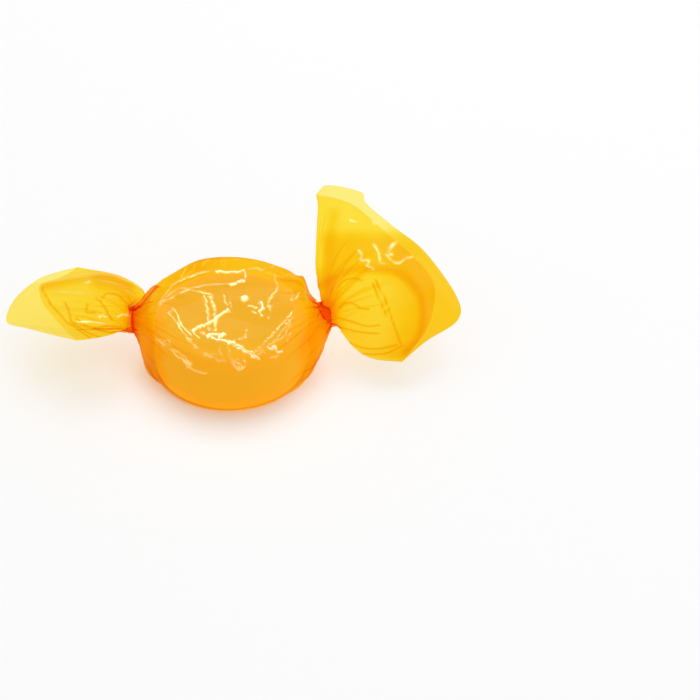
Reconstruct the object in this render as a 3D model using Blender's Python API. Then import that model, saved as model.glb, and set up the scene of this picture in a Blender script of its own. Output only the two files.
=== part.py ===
"""Butterscotch candy in its twisted clear wrapper, as one closed solid.

The wrapper is a film tube drawn over a flat round candy, twisted shut at both ends and fanned out into two
tails. The solid is one loft along the twist axis X. Its cross-sections are the taut film's around the candy,
then a small ring at each neck, then the spread loop of a tail out to the film's cut edge.

Frame: X along the twist axis, the tall tail at +X; Z up; the origin is the middle of the flat spot under the
candy, on which the candy rests. Units are metres.
"""

import math

import bmesh
import bpy
import numpy as np

MM = 0.001

# The candy inside
CANDY_RADIUS = 12.0 * MM
CANDY_HEIGHT = 9.4 * MM

# The film over the candy, which stands off it most at the top and back
FILM_EDGE_ROUND = 1.1 * MM
SLACK = 3.0 * MM
SLACK_DIRECTION = math.radians(60)
SLACK_FULLNESS = 0.3
SLACK_MIDDLE = 2.6 * MM
SLACK_FADE = 3.6 * MM

# Creases across the slack film, as folds along a few directions: direction, spacing and place. They fade in
# over this much of the way round from the film's edges.
CREASE_FADE = 1.6
CREASE_DEPTH = 0.3 * MM
CREASE_ROUND = 0.12
CREASES = [
    (math.radians(14), 13.0 * MM, 0.15),
    (math.radians(68), 10.5 * MM, 0.40),
    (math.radians(118), 12.0 * MM, 0.80),
    (math.radians(163), 17.0 * MM, 0.55),
]

# Low on each side the film bags out past the neck, from this share of the way to it
BAG_FROM = 0.55
BAG = 1.3 * MM
BAG_DIRECTION = math.radians(245)
BAG_WIDTH = math.radians(75)

# The twisted necks
NECK_X = 14.6 * MM
NECK_Y = 1.0 * MM
NECK_Z = 8.4 * MM
NECK_RADIUS = 1.9 * MM
NECK_HALF_LENGTH = 0.7 * MM

# The tall tail's neck tips: its upper side leans back over the candy, by this much for each unit of its rise
NECK_TIP = 0.8
NECK_TIP_REACH = 4.0 * MM

# Pleats that run out of each neck, over the candy and along the tail, and turn with the twist
PLEATS = 9
PLEAT_SHARE = 0.15
PLEAT_REACH = 7.5 * MM
PLEAT_TURN = math.radians(50)
TAIL_PLEAT_DEPTH = 0.42 * MM
TAIL_PLEAT_START = 0.08
TAIL_PLEAT_FULLNESS = 0.8

# How fast each tail spreads from its neck. Its back edge spreads faster and leans over the candy.
NEAR_FLARE = 3.2
BACK_WIDTH = math.radians(62)
STEADY_SPREAD = 0.3
LEAN_FADE = 1.5
TALL_TAIL = {
    "side": 1,
    "corner": math.radians(90),
    "back": math.radians(88),
    "back_flare": 5.0,
    "lean": 1.0 * MM,
    "leant_at": 0.4,
}
FLAT_TAIL = {
    "side": -1,
    "corner": 0.0,
    "back": math.radians(18),
    "back_flare": 5.5,
    "lean": 4.8 * MM,
    "leant_at": 0.5,
}

# The tall tail's near wall bulges into a pouch beside the neck, fullest this far along it
POUCH_PLACE = 0.8
POUCH_FULLNESS = 1.5
POUCH_BULGE = 2.7 * MM
POUCH_DIRECTION = math.radians(222)
POUCH_WIDTH = math.radians(40)

# The cut edge of each tail from its neck's centre, wall by wall, in millimetres. The two walls meet at two
# corners, half a turn apart: the first wall runs from the tail's corner to the other, the second back again.
TALL_TAIL_NEAR_EDGE = [
    (-1.1, 11.0, 14.5),
    (2.2, 9.7, 14.5),
    (5.2, 8.6, 13.4),
    (9.2, 6.3, 10.5),
    (13.6, 3.4, 7.4),
    (16.2, 0.7, 4.7),
    (16.0, -2.3, 2.3),
    (14.6, -4.6, -0.6),
    (11.0, -7.2, -4.1),
]
TALL_TAIL_FAR_EDGE = [
    (11.0, -7.2, -4.1),
    (14.9, -3.5, -3.1),
    (19.9, -0.5, -1.5),
    (20.0, 2.4, 0.9),
    (15.4, 7.4, 6.0),
    (10.5, 10.2, 9.2),
    (6.7, 12.2, 12.0),
    (5.9, 13.3, 13.4),
    (0.8, 13.4, 14.7),
    (-1.1, 11.0, 14.5),
]
FLAT_TAIL_UPPER_EDGE = [
    (-8.9, 12.6, 1.6),
    (-11.0, 8.0, 2.9),
    (-13.9, 4.2, 4.1),
    (-13.7, 0.5, 5.0),
    (-12.9, -2.5, 5.0),
    (-11.5, -5.1, 4.9),
    (-10.2, -6.8, 4.2),
    (-8.0, -8.0, 2.2),
]
FLAT_TAIL_LOWER_EDGE = [
    (-8.0, -8.0, 2.2),
    (-12.1, -4.8, 1.2),
    (-15.8, -1.6, 0.2),
    (-19.1, 0.6, 0.0),
    (-18.2, 5.2, 0.9),
    (-15.0, 9.9, 1.3),
    (-11.8, 12.3, 1.1),
    (-8.9, 12.6, 1.6),
]

# The loft's grid. Its sections are centred on the candy up to this share of the way to a neck, and their
# points are evenly spaced while they are not much wider than the neck.
CENTRED_UNTIL = 0.35
EVEN_SPAN = 2.5
LEAST_FACING = 0.02
AROUND = 64
BODY_STATIONS = 41
TAIL_STATIONS = 15
TAIL_CROWDING = 1.35
SLICES = 49
DIRECTIONS = 240

FILM_COLOUR = (0.93, 0.42, 0.03, 1.0)


def smoothstep(value):
    """0 below 0, 1 above 1, and a smooth step between."""
    value = np.clip(value, 0.0, 1.0)
    return value * value * (3.0 - 2.0 * value)


def near_angle(angles, middle, width):
    """A weight for each angle round the twist axis: 1 at the middle, fading out over the width."""
    off = np.angle(np.exp(1j * (angles - middle)))
    return np.exp(-((off / width) ** 2))


def around_angles():
    """The loft's angles round the twist axis: 0 points along +Y and a quarter turn along +Z."""
    return np.arange(AROUND) * 2.0 * math.pi / AROUND


def pleat_wave(angles):
    """The pleats round the twist axis, from -1 in a furrow to 1 on a crest, unevenly spaced and sized."""
    uneven = 1.2 * np.sin(2.0 * angles + 0.7)
    return (0.8 + 0.2 * np.cos(3.0 * angles + 0.6)) * np.cos(PLEATS * angles + uneven)


def corner_angles(reach):
    """The loft's angles at a section, drawn towards its four corners. reach is back, top, front, bottom."""
    quarter = AROUND // 4
    steps = np.arange(quarter // 2) / (quarter / 2)
    bunched = np.sin(0.5 * math.pi * steps)
    # Near the round necks the spacing is even.
    share = smoothstep((max(reach) / NECK_RADIUS - 1.0) / EVEN_SPAN)
    rise = (1.0 - share) * steps + share * bunched
    angles = []
    for side in range(4):
        ahead = reach[(side + 1) % 4]
        corner = math.atan2(ahead, reach[side])
        angles.extend(side * math.pi / 2.0 + corner * rise)
        fall = 1.0 - np.concatenate([rise[1:], [1.0]])[::-1]
        angles.extend(side * math.pi / 2.0 + corner + (math.pi / 2.0 - corner) * fall)
    return np.array(angles)


def neck_support(directions):
    """How far a neck's ring reaches in each direction of the YZ plane."""
    return NECK_Y * np.cos(directions) + NECK_Z * np.sin(directions) + NECK_RADIUS


def slice_support(x, directions):
    """How far the film reaches on the candy's own slice at x, its edges rounded by the film."""
    half_width = math.sqrt(max((CANDY_RADIUS - FILM_EDGE_ROUND) ** 2 - x * x, 0.0))
    rise = np.sin(directions)
    height = np.where(rise > 0.0, CANDY_HEIGHT - FILM_EDGE_ROUND, FILM_EDGE_ROUND)
    return half_width * np.abs(np.cos(directions)) + height * rise + FILM_EDGE_ROUND


def taut_support(x, directions):
    """How far the film reaches at x when it is stretched from neck to neck over the candy."""
    limit = CANDY_RADIUS - FILM_EDGE_ROUND
    reach = neck_support(directions)
    if abs(x) < limit:
        reach = np.maximum(reach, slice_support(x, directions))
    for slice_x in np.linspace(-limit, limit, SLICES):
        neck_x = NECK_X if x > slice_x else -NECK_X
        share = (x - slice_x) / (neck_x - slice_x)
        between = (1.0 - share) * slice_support(slice_x, directions) + share * neck_support(directions)
        reach = np.maximum(reach, between)
    return reach


def slack(x, directions):
    """How much further than taut the film reaches at x."""
    place = (x - SLACK_MIDDLE) / (NECK_X - math.copysign(SLACK_MIDDLE, x - SLACK_MIDDLE))
    along = max(1.0 - place * place, 0.0) ** SLACK_FULLNESS
    along *= smoothstep((NECK_X - abs(x)) / SLACK_FADE)
    return SLACK * along * np.maximum(np.cos(directions - SLACK_DIRECTION), 0.0)


def creased(x, y):
    """How far the creased film stands in or out at a point of the plan, as a sum of sharp folds."""
    total = 0.0
    for direction, spacing, place in CREASES:
        turns = (x * math.cos(direction) + y * math.sin(direction)) / spacing + place
        wave = np.sin(math.pi * turns)
        total = total + 1.0 - 2.0 * np.sqrt(wave * wave + CREASE_ROUND**2)
    return CREASE_DEPTH * total / len(CREASES)


def section_centre(x):
    """The point inside the section at x that its angles are measured from, as y and z."""
    share = smoothstep((abs(x) / NECK_X - CENTRED_UNTIL) / (1.0 - CENTRED_UNTIL))
    return NECK_Y * share, CANDY_HEIGHT / 2.0 + (NECK_Z - CANDY_HEIGHT / 2.0) * share


def tip_over(points, weight):
    """Leans a section's upper side towards the candy, and its lower side a little away from it."""
    rise = np.clip(points[:, 2] - NECK_Z, -0.5 * NECK_RADIUS, NECK_RADIUS)
    points[:, 0] -= NECK_TIP * weight * rise


def body_ring(x):
    """The film's closed section at x, as AROUND points."""
    directions = np.arange(DIRECTIONS) * 2.0 * math.pi / DIRECTIONS
    centre_y, centre_z = section_centre(x)
    reach = taut_support(x, directions) + slack(x, directions)
    reach = reach - centre_y * np.cos(directions) - centre_z * np.sin(directions)
    angles = corner_angles(reach[:: DIRECTIONS // 4])
    facing = np.cos(directions[None, :] - angles[:, None])
    radii = reach[None, :] / np.maximum(facing, LEAST_FACING)
    radii = np.where(facing > LEAST_FACING, radii, np.inf).min(axis=1)
    pleated = smoothstep((abs(x) - (NECK_X - PLEAT_REACH)) / PLEAT_REACH)
    turned = around_angles() + math.copysign(PLEAT_TURN, x) * pleated
    radii = radii * (1.0 + PLEAT_SHARE * pleated * pleat_wave(turned))
    loose = (1.0 - pleated) * smoothstep(np.cos(angles - SLACK_DIRECTION) * CREASE_FADE)
    radii = radii + loose * creased(x, radii * np.cos(angles)) * math.sqrt(len(CREASES))
    bagged = math.sin(math.pi * smoothstep((abs(x) / NECK_X - BAG_FROM) / (1.0 - BAG_FROM)))
    points = np.empty((AROUND, 3))
    points[:, 0] = x + math.copysign(BAG, x) * bagged * near_angle(angles, BAG_DIRECTION, BAG_WIDTH)
    points[:, 1] = centre_y + radii * np.cos(angles)
    points[:, 2] = np.maximum(centre_z + radii * np.sin(angles), 0.0)
    tip_over(points, smoothstep((x - NECK_X + NECK_TIP_REACH) / NECK_TIP_REACH))
    return points


def edge_curve(edge, count):
    """The wall's cut edge as count points, evenly spaced in the list's own steps, by a Catmull-Rom spline."""
    given = np.array(edge) * MM
    padded = np.vstack([2 * given[0] - given[1], given, 2 * given[-1] - given[-2]])
    places = np.linspace(0.0, len(given) - 1.0, count)
    first = np.minimum(places.astype(int), len(given) - 2)
    t = (places - first)[:, None]
    p0, p1, p2, p3 = (padded[first + k] for k in range(4))
    return 0.5 * (
        2 * p1 + (p2 - p0) * t + (2 * p0 - 5 * p1 + 4 * p2 - p3) * t**2 + (3 * p1 - p0 - 3 * p2 + p3) * t**3
    )


def corner_index(corner_angle):
    """Which of the loft's angles a tail's corner is at."""
    return round(corner_angle / (2.0 * math.pi) * AROUND)


def cut_loop(first_wall, second_wall, corner_angle):
    """The tail's whole cut edge, in the order of the loft's angles. Its first corner is at corner_angle."""
    half = AROUND // 2
    loop = np.vstack([edge_curve(first_wall, half + 1)[:-1], edge_curve(second_wall, half + 1)[:-1]])
    return np.roll(loop, corner_index(corner_angle), axis=0)


def tail_rings(tail, loop):
    """The tail's sections from its neck out to its cut edge, which spread fast and then run straight."""
    side = tail["side"]
    angles = around_angles()
    neck = np.array([side * NECK_X, NECK_Y, NECK_Z])
    ring = np.column_stack([np.zeros(AROUND), np.cos(angles), np.sin(angles)])
    backward = near_angle(angles, tail["back"], BACK_WIDTH)
    flare = NEAR_FLARE + (tail["back_flare"] - NEAR_FLARE) * backward
    between_corners = np.abs(np.sin(angles - tail["corner"]))
    rings = []
    for step in range(1, TAIL_STATIONS + 1):
        share = (step / TAIL_STATIONS) ** TAIL_CROWDING
        left = 1.0 - share
        spread = STEADY_SPREAD * share + (1.0 - STEADY_SPREAD) * (1.0 - left**flare)
        points = neck + ring * (NECK_RADIUS * (1.0 - spread))[:, None]
        leant = backward * smoothstep(spread / tail["leant_at"]) * left**LEAN_FADE
        points[:, 0] += side * NECK_HALF_LENGTH * left + loop[:, 0] * share - side * tail["lean"] * leant
        points[:, 1:] += loop[:, 1:] * spread[:, None]
        along = math.sin(math.pi * min(share + TAIL_PLEAT_START, 1.0))
        depth = TAIL_PLEAT_DEPTH * along**TAIL_PLEAT_FULLNESS
        turned = angles + side * PLEAT_TURN * left**4
        points += ring * (depth * between_corners * pleat_wave(turned))[:, None]
        if tail is TALL_TAIL:
            bulge = POUCH_BULGE * near_angle(angles, POUCH_DIRECTION, POUCH_WIDTH)
            along = math.sin(math.pi * share**POUCH_PLACE)
            points += ring * (bulge * along**POUCH_FULLNESS)[:, None]
            tip_over(points, left**2)
        rings.append(points)
    return rings


def all_rings():
    """Every section of the loft, from the flat tail's cut edge to the tall tail's."""
    flat = cut_loop(FLAT_TAIL_UPPER_EDGE, FLAT_TAIL_LOWER_EDGE, FLAT_TAIL["corner"])
    tall = cut_loop(TALL_TAIL_NEAR_EDGE, TALL_TAIL_FAR_EDGE, TALL_TAIL["corner"])
    # Stations crowd towards the necks, where the film turns most.
    turns = np.linspace(-math.pi / 2.0, math.pi / 2.0, BODY_STATIONS)
    body = [body_ring(NECK_X * math.sin(turn)) for turn in turns]
    return tail_rings(FLAT_TAIL, flat)[::-1] + body + tail_rings(TALL_TAIL, tall)


def cap(mesh, ring, corner):
    """Closes the loft's end with a strip from wall to wall, starting at the loop's corner vertex."""
    count = len(ring)
    for step in range(count // 2):
        here = (corner + step) % count
        after = (corner + step + 1) % count
        across = (corner - step) % count
        before = (corner - step - 1) % count
        around = [ring[here], ring[after], ring[before], ring[across]]
        corners = list(dict.fromkeys(around))
        if len(corners) > 2:
            mesh.faces.new(corners)


def build_wrapped_candy(collection):
    """The whole wrapped candy as one lofted solid."""
    mesh = bmesh.new()
    rings = [[mesh.verts.new(point) for point in ring] for ring in all_rings()]
    for ring, following in zip(rings, rings[1:]):
        for i in range(AROUND):
            j = (i + 1) % AROUND
            mesh.faces.new((ring[i], ring[j], following[j], following[i]))
    cap(mesh, rings[0], corner_index(FLAT_TAIL["corner"]))
    cap(mesh, rings[-1], corner_index(TALL_TAIL["corner"]))
    bmesh.ops.triangulate(mesh, faces=mesh.faces[:])
    bmesh.ops.recalc_face_normals(mesh, faces=mesh.faces[:])
    data = bpy.data.meshes.new("wrapped_candy")
    mesh.to_mesh(data)
    mesh.free()
    data.shade_smooth()
    data.set_sharp_from_angle(angle=math.radians(40))
    data.materials.append(film_material())
    candy = bpy.data.objects.new("wrapped_candy", data)
    collection.objects.link(candy)
    return candy


def film_material():
    """Clear yellow film over amber sugar, as one plain finish."""
    material = bpy.data.materials.new("wrapped_candy_film")
    material.use_nodes = True
    shader = material.node_tree.nodes["Principled BSDF"]
    shader.inputs["Base Color"].default_value = FILM_COLOUR
    shader.inputs["Roughness"].default_value = 0.12
    shader.inputs["Metallic"].default_value = 0.0
    return material


def main():
    for old in list(bpy.data.objects):
        bpy.data.objects.remove(old)
    collection = bpy.data.collections.new("butterscotch_candy")
    bpy.context.scene.collection.children.link(collection)
    build_wrapped_candy(collection)


main()
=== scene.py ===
"""A butterscotch candy in its clear yellow twist wrapper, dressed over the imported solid.

The film is one open tube: it closes round the candy, gathers into pleats at the two necks, where packed film
closes it, and fans out into the two tails. The candy inside is a disc of amber sugar. Both stand for the one
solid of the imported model.
"""

import math

import bpy
import numpy as np
from bpy.props import FloatProperty, FloatVectorProperty, IntProperty, PointerProperty
from mathutils import Matrix, Vector


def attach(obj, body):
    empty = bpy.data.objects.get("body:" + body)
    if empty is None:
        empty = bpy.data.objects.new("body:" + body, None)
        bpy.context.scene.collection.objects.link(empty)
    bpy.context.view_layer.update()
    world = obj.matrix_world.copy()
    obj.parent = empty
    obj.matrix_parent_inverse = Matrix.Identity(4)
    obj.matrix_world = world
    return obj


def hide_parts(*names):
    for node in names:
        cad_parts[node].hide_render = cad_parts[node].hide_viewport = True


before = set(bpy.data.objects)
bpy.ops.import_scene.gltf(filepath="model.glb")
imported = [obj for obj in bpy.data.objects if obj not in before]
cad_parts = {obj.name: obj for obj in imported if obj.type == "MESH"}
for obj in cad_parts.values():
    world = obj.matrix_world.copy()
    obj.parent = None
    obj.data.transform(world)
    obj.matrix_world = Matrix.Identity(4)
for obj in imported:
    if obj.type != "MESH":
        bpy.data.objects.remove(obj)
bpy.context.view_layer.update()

bl_info = {
    "name": "Twist-wrapped butterscotch",
    "version": (1, 0, 0),
    "blender": (4, 5, 0),
    "location": "3D View > Sidebar > Butterscotch",
    "description": "Makes a butterscotch candy in its clear twisted film, and a pale stage for it",
    "category": "Object",
}

MM = 0.001
NODE = "wrapped_candy"

# The taut film's form, as in the solid it stands for
CANDY_RADIUS = 12.0 * MM
CANDY_HEIGHT = 9.4 * MM
FILM_EDGE_ROUND = 1.1 * MM
SLACK = 3.0 * MM
SLACK_DIRECTION = math.radians(60)
SLACK_FULLNESS = 0.3
SLACK_MIDDLE = 2.6 * MM
SLACK_FADE = 3.6 * MM
BAG = 1.3 * MM
BAG_DIRECTION = math.radians(245)
BAG_WIDTH = math.radians(75)
NECK_X = 14.6 * MM
NECK_Y = 1.0 * MM
NECK_Z = 8.4 * MM
NECK_RADIUS = 1.9 * MM
NECK_HALF_LENGTH = 0.7 * MM
NECK_TURN = 1.3
TURN_REACH = 2.0 * MM
NECK_TIP = 0.8
NECK_TIP_REACH = 4.0 * MM

# The creases that cross the slack film: direction, spacing and place
CREASE_ROUND = 0.12
CREASES = [
    (math.radians(14), 13.0 * MM, 0.15),
    (math.radians(68), 10.5 * MM, 0.40),
    (math.radians(118), 12.0 * MM, 0.80),
    (math.radians(163), 17.0 * MM, 0.55),
]

# The pleats of the solid
PLEATS = 9
PLEAT_SHARE = 0.15
PLEAT_REACH = 7.5 * MM
PLEAT_TURN = math.radians(50)
TAIL_PLEAT_DEPTH = 0.42 * MM

# The tails' spread
NEAR_FLARE = 3.2
BACK_WIDTH = math.radians(62)
STEADY_SPREAD = 0.3
LEAN_FADE = 1.5
TALL_TAIL = {
    "side": 1,
    "corner": math.radians(90),
    "back": math.radians(88),
    "back_flare": 5.0,
    "lean": 1.0 * MM,
    "leant_at": 0.4,
}
FLAT_TAIL = {
    "side": -1,
    "corner": 0.0,
    "back": math.radians(18),
    "back_flare": 5.5,
    "lean": 4.8 * MM,
    "leant_at": 0.5,
}
POUCH_BULGE = 2.7 * MM
POUCH_DIRECTION = math.radians(222)
POUCH_WIDTH = math.radians(40)

# The tails' cut edges from each neck's centre, wall by wall, in millimetres
TALL_TAIL_NEAR_EDGE = [
    (-1.1, 11.0, 14.5),
    (2.2, 9.7, 14.5),
    (5.2, 8.6, 13.4),
    (9.2, 6.3, 10.5),
    (13.6, 3.4, 7.4),
    (16.2, 0.7, 4.7),
    (16.0, -2.3, 2.3),
    (14.6, -4.6, -0.6),
    (11.0, -7.2, -4.1),
]
TALL_TAIL_FAR_EDGE = [
    (11.0, -7.2, -4.1),
    (14.9, -3.5, -3.1),
    (19.9, -0.5, -1.5),
    (20.0, 2.4, 0.9),
    (15.4, 7.4, 6.0),
    (10.5, 10.2, 9.2),
    (6.7, 12.2, 12.0),
    (5.9, 13.3, 13.4),
    (0.8, 13.4, 14.7),
    (-1.1, 11.0, 14.5),
]
FLAT_TAIL_UPPER_EDGE = [
    (-8.9, 12.6, 1.6),
    (-11.0, 8.0, 2.9),
    (-13.9, 4.2, 4.1),
    (-13.7, 0.5, 5.0),
    (-12.9, -2.5, 5.0),
    (-11.5, -5.1, 4.9),
    (-10.2, -6.8, 4.2),
    (-8.0, -8.0, 2.2),
]
FLAT_TAIL_LOWER_EDGE = [
    (-8.0, -8.0, 2.2),
    (-12.1, -4.8, 1.2),
    (-15.8, -1.6, 0.2),
    (-19.1, 0.6, 0.0),
    (-18.2, 5.2, 0.9),
    (-15.0, 9.9, 1.3),
    (-11.8, 12.3, 1.1),
    (-8.9, 12.6, 1.6),
]

# How deep the folds at the necks reach in, beside the settings' own: the share of the radius, and how far out
GATHER_REACH = 1.7 * MM
BROAD_GATHERS = 11.0
BROAD_GATHER_DEPTH = 0.04
BROAD_GATHER_REACH = 5.5 * MM

# The packed film that closes each neck
ROSETTE_STEPS = 12
ROSETTE_TURN = math.radians(100)
ROSETTE_RISE = 0.4 * MM
ROSETTE_HOLE = 0.03
ROSETTE_LAYERS = 7.0

# The fine pleats that run out of the necks, into the tails and over the candy
TAIL_PLEATS = 31.0
BODY_PLEATS = 27.0
BODY_PLEAT_START = 1.5 * MM
BODY_PLEAT_REACH = 11.0 * MM
BODY_PLEAT_FADE = 8.0 * MM

# The film's grid
AROUND = 384
BODY_STATIONS = 200
TAIL_STATIONS = 64
TAIL_CROWDING = 1.35
SLICES = 49
DIRECTIONS = 480

# The view
CAMERA_AT = (0.0044, -0.26125, 0.19032)
CAMERA_AIM = (0.0180, -0.00174, 0.00359)

# Creases and folds are paths in the front view: millimetres right of and above the candy's foot. This is the
# middle of that view, and how far away its scale is true. The candy's own creases are on its far side too,
# turned half round.
FRONT_MIDDLE = (18.1, 2.4)
FRONT_DISTANCE = 320.0

# How wide each kind of path is, in the same millimetres, and how far the candy's creases stray from theirs
FINE_WIDTH = 0.11
BOLD_WIDTH = 0.14
BOLD_UNEVENNESS = 0.05
FAR_BOLD_WIDTH = 0.12
TAIL_CREASE_WIDTH = 0.13
FOLD_WIDTH = 0.11
BAND_WIDTH = 0.62
LEFT_EDGE_WIDTH = 0.9
FAN_WIDTH = 1.3
CREASE_JITTER = 0.13

# Creases over the candy, each a ridge that carries a painted highlight: fine ones, and those with the
# strongest painted highlight
CANDY_CREASES = [
    [(-11.0, 9.4), (-9.1, 12.3), (-6.7, 13.5), (-3.8, 14.3), (-2.1, 14.3)],
    [(0.5, 12.6), (-2.5, 12.4), (-4.7, 12.2), (-6.7, 11.7), (-8.8, 10.6), (-10.8, 9.4)],
    [(-10.6, 9.7), (-8.4, 11.7), (-6.7, 11.8), (-4.3, 11.2), (-3.0, 11.0)],
    [(2.7, 15.0), (4.2, 15.0), (4.5, 14.7), (5.1, 14.9), (6.4, 15.3)],
    [(6.6, 14.3), (6.8, 13.0), (7.0, 11.9), (6.1, 10.8), (5.7, 9.7), (5.6, 9.3)],
    [(6.0, 9.5), (6.0, 8.4), (5.7, 7.3)],
    [(2.7, 9.4), (3.3, 9.3), (4.0, 9.1)],
    [(3.3, 8.6), (3.8, 8.2)],
    [(-1.0, 10.8), (-0.8, 9.7), (-0.3, 8.8)],
    [(-0.2, 10.6), (-0.0, 9.3), (-0.2, 8.4)],
    [(-4.0, 10.8), (-3.7, 9.3), (-3.5, 7.8), (-3.4, 6.2), (-3.2, 5.1)],
    [(-3.0, 10.8), (-2.9, 9.7), (-2.5, 8.8), (-2.5, 7.8), (-2.4, 5.6)],
    [(-3.3, 10.6), (-2.7, 9.7), (-2.2, 8.2), (-2.3, 6.4)],
    [(-5.9, 5.4), (-5.1, 4.7), (-4.9, 4.5)],
    [(-9.5, 8.0), (-8.6, 8.5), (-8.0, 7.3), (-7.3, 6.0), (-6.2, 5.0)],
    [(-9.4, 7.8), (-8.8, 7.3), (-7.8, 5.8), (-6.7, 4.3), (-5.1, 2.8), (-3.8, 1.7), (-1.9, 0.8)],
    [(-8.2, 6.7), (-7.3, 5.1), (-5.8, 3.4), (-4.3, 2.1), (-2.5, 1.2)],
    [(-4.5, 5.4), (-3.4, 4.7)],
    [(-3.4, 1.7), (-2.5, 1.9), (-1.7, 0.9), (-0.7, 0.7)],
    [(-1.7, 3.0), (-1.6, 1.9), (-1.3, 1.1)],
    [(-0.4, 3.0), (-0.2, 1.7), (0.3, 0.4), (1.4, -0.7), (2.2, 0.2), (2.0, 0.8)],
    [(0.4, 0.9), (1.4, -0.5)],
    [(0.9, 1.0), (1.8, -0.3)],
    [(9.4, 8.2), (7.9, 6.4), (6.1, 4.5), (4.6, 3.0), (3.5, 1.9)],
    [(9.5, 7.5), (8.3, 6.0), (7.0, 4.3), (5.5, 3.0), (4.2, 1.7)],
    [(9.0, 6.4), (7.9, 4.5), (6.4, 3.4)],
    [(9.2, 6.0), (9.0, 4.7), (8.6, 3.6)],
    [(4.2, 2.8), (5.3, 1.9), (5.7, 1.2), (7.0, 1.5), (7.7, 2.1)],
    [(1.4, 4.1), (2.2, 4.5), (2.3, 5.6)],
    [(-10.6, 3.4), (-10.0, 3.8), (-9.4, 3.9), (-9.4, 3.2), (-10.4, 3.0)],
    [(-8.2, 1.6), (-7.1, 0.8), (-6.0, 0.3), (-6.7, -0.3)],
    [(-7.3, 1.0), (-6.0, -0.5), (-3.6, -1.2)],
    [(-8.8, 2.5), (-7.3, 1.7), (-6.2, 0.2)],
    [(-11.2, 4.1), (-9.7, 3.0), (-8.4, 1.7)],
    [(-4.5, 1.3), (-3.6, 1.7)],
    [(9.2, 10.1), (9.7, 11.0)],
    [(9.7, 9.9), (10.5, 11.2)],
]
BOLD_CREASES = [
    [(-2.2, 14.3), (-1.5, 14.4), (-0.8, 14.3), (0.1, 14.4), (1.2, 14.4), (2.0, 14.7), (2.2, 13.6),
     (2.0, 13.0)],
    [(2.1, 13.0), (1.4, 13.0), (0.6, 12.6), (0.1, 12.5)],
    [(1.5, 10.6), (2.0, 10.7), (2.6, 10.7), (1.9, 10.3), (1.5, 10.6)],
    [(4.5, 9.9), (4.9, 9.3), (4.4, 8.5), (4.7, 7.8)],
    [(-0.4, 8.7), (-1.7, 7.8), (-2.5, 7.1), (-3.6, 6.6), (-5.1, 6.1), (-5.9, 5.5)],
    [(-3.6, 4.7), (-3.0, 5.0), (-2.0, 4.9), (-1.0, 5.0), (-2.0, 4.4), (-0.8, 3.8),
     (0.3, 3.6), (1.2, 3.1), (2.2, 2.5), (3.3, 1.9), (4.2, 1.0)],
    [(-3.0, 4.5), (-1.7, 4.0), (-0.4, 3.5), (0.9, 2.9), (1.8, 2.4), (3.5, 1.3)],
    [(5.6, 3.0), (6.1, 2.5), (6.5, 3.0), (7.0, 2.3), (7.6, 2.1)],
    [(12.0, 12.1), (12.5, 11.2), (13.1, 10.1), (13.6, 8.9)],
]
# Dark folds in the tails
FLAT_TAIL_FOLDS = [
    [(-28.7, 12.8), (-28.6, 11.6), (-28.0, 10.5), (-27.3, 9.3), (-26.0, 7.9), (-25.0, 6.7), (-24.0, 6.1),
     (-22.6, 5.1), (-21.1, 4.1), (-19.9, 3.8)],
    [(-25.3, 9.8), (-24.6, 8.3), (-24.3, 6.7)],
    [(-21.8, 9.4), (-21.9, 8.2), (-20.6, 8.1)],
    [(-20.4, 10.3), (-19.4, 9.3), (-18.6, 7.8), (-18.0, 6.9)],
    [(-19.6, 10.4), (-18.9, 11.0), (-17.9, 11.1), (-16.9, 10.6), (-15.9, 9.6)],
    [(-24.3, 6.7), (-22.3, 6.1), (-20.6, 5.8), (-18.6, 6.1), (-16.4, 5.8)],
    [(-23.5, 7.2), (-21.8, 6.1), (-19.9, 5.4), (-17.4, 5.0), (-15.7, 5.6)],
    [(-24.0, 6.4), (-21.6, 5.0), (-19.4, 4.3), (-17.2, 4.5)],
]
FLAT_TAIL_BANDS = [
    [(-28.0, 12.1), (-25.7, 12.6), (-23.3, 13.1), (-20.6, 13.4), (-17.9, 13.2), (-15.2, 12.0)],
]
TALL_TAIL_FOLDS = [
    [(16.2, 11.9), (17.0, 12.9), (18.5, 13.3), (19.8, 13.0)],
    [(16.5, 8.8), (17.2, 9.5), (18.5, 9.5), (19.6, 8.8), (20.9, 8.6)],
    [(16.2, 7.3), (18.7, 6.6), (20.7, 6.0), (22.6, 6.2)],
    [(16.1, 6.0), (18.5, 5.3), (20.5, 5.0), (22.4, 4.9)],
    [(16.0, 5.7), (17.7, 3.8), (19.8, 2.8), (22.4, 2.6), (25.2, 3.2)],
    [(15.9, 5.4), (17.9, 2.5), (20.5, 1.8), (23.5, 1.9), (26.1, 3.1)],
    [(22.0, 13.0), (23.5, 9.9), (24.6, 6.7), (25.8, 3.4)],
    [(21.6, 12.5), (22.6, 10.1), (23.7, 7.5)],
]
TALL_TAIL_BANDS = [
    [(13.7, 12.2), (15.5, 13.3), (17.7, 14.3), (20.0, 14.8), (22.0, 14.6), (24.4, 14.5), (26.3, 13.6),
     (28.1, 11.9), (29.0, 10.1), (29.3, 8.0), (29.0, 5.6), (28.3, 3.8), (26.6, 2.1)],
]
# Where the film fans out of the necks, deep in colour
NECK_FANS = [
    [(-19.8, 12.9), (-17.5, 12.2), (-15.6, 10.6)],
    [(13.6, 13.4), (14.6, 11.8), (15.2, 9.8)],
    [(14.4, 12.6), (15.2, 10.8)],
]
TALL_TAIL_LEFT = [(15.6, 23.0), (15.2, 20.3), (15.1, 15.5), (15.4, 11.5)]
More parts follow.
